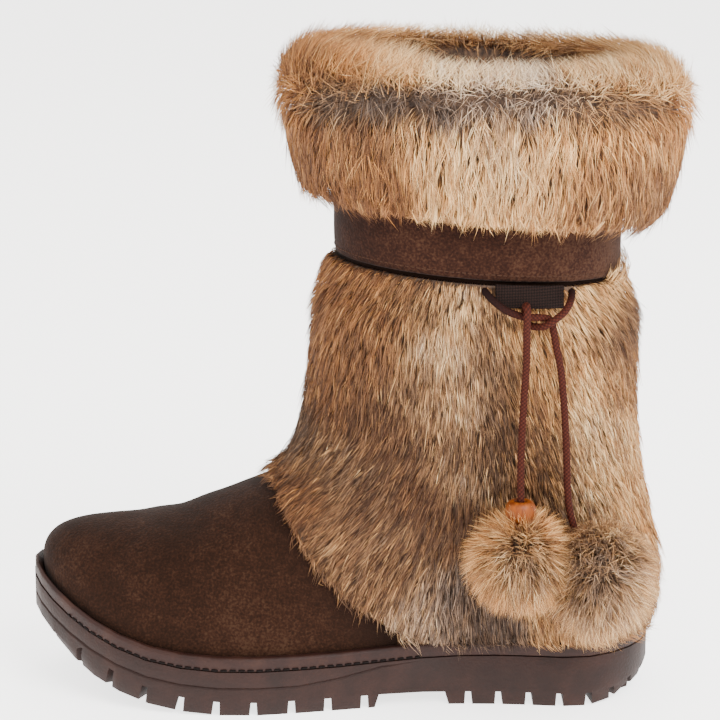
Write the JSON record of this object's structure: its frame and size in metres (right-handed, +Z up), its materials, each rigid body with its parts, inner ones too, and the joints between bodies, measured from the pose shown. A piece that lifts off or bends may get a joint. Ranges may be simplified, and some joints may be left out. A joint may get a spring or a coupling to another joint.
{
  "type": "mukluk boot",
  "caption": "Pull-on fur and suede mukluk boot with a turned fur cuff, lugged rubber sole and two hanging cords with beads and pompoms.",
  "frame": {"origin": "on the floor under the middle of the boot's own box, without its hanging ties", "axes": "-X towards the toe, -Y towards the outer side of the foot with the ties, +Z up"},
  "size_m": [0.3032, 0.1648, 0.3],
  "materials": {
    "sole_rubber": "satin moulded rubber, plum brown",
    "welt_rubber": "satin moulded rubber with a stitched groove",
    "insole_felt": "brushed felt",
    "suede": "napped suede, dark brown",
    "fur": "dense brown and cream fur, combed down",
    "band_suede": "napped suede, reddish brown",
    "cuff_fur": "deep brown, grey and cream fur",
    "tab_leather": "plain stitched leather",
    "cord": "braided, burgundy brown",
    "bead_wood": "turned and varnished, orange tan",
    "pompom_fur": "loose brown and tan fur"
  },
  "bodies": {
    "root": {"outsole": "sole_rubber", "welt": "welt_rubber", "insole": "insole_felt", "upper": "suede", "fur_sleeve": "fur", "band": "band_suede", "fur_cuff": "cuff_fur", "tab": "tab_leather", "tie_cord_one": "cord", "tie_cord_two": "cord", "bead_one": "bead_wood", "bead_two": "bead_wood", "pompom_one": "pompom_fur", "pompom_two": "pompom_fur"}
  },
  "joints": []
}
